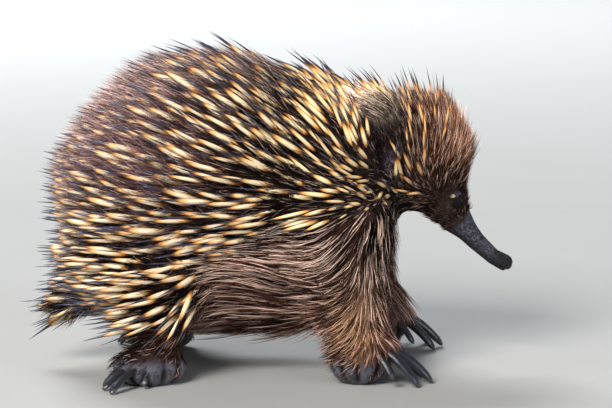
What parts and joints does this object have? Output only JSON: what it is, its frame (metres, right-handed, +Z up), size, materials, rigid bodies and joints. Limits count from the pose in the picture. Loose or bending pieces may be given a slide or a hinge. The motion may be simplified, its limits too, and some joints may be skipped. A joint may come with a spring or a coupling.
{
  "type": "echidna",
  "caption": "Life-size short-beaked echidna standing with its head bowed to dig, with a coat of spines and fur",
  "frame": {"origin": "on the floor, under the middle of the box round the whole animal", "axes": "+X the way the animal faces, +Y its left side, +Z up"},
  "size_m": [0.3688, 0.228, 0.2515],
  "materials": {
    "coat": "brown fur with cream and dark-tipped spines",
    "bare_skin": "slate-grey bare skin",
    "eye": "wet black",
    "claw": "smooth dark horn"
  },
  "bodies": {
    "root": {"torso": "coat", "neck": "coat", "head": "coat", "tail": "coat", "front_leg_right": "coat", "front_leg_left": "coat", "hind_leg_right": "coat", "hind_leg_left": "coat", "beak": "bare_skin", "ear_right": "bare_skin", "eye_right": "eye", "ear_left": "bare_skin", "eye_left": "eye", "fore_claw_right_1": "claw", "fore_claw_right_2": "claw", "fore_claw_right_3": "claw", "fore_claw_right_4": "claw", "fore_claw_right_5": "claw", "fore_claw_left_1": "claw", "fore_claw_left_2": "claw", "fore_claw_left_3": "claw", "fore_claw_left_4": "claw", "fore_claw_left_5": "claw", "hind_claw_right_1": "claw", "hind_claw_right_2": "claw", "hind_claw_right_3": "claw", "hind_claw_right_4": "claw", "hind_claw_right_5": "claw", "hind_claw_left_1": "claw", "hind_claw_left_2": "claw", "hind_claw_left_3": "claw", "hind_claw_left_4": "claw", "hind_claw_left_5": "claw"}
  },
  "joints": []
}
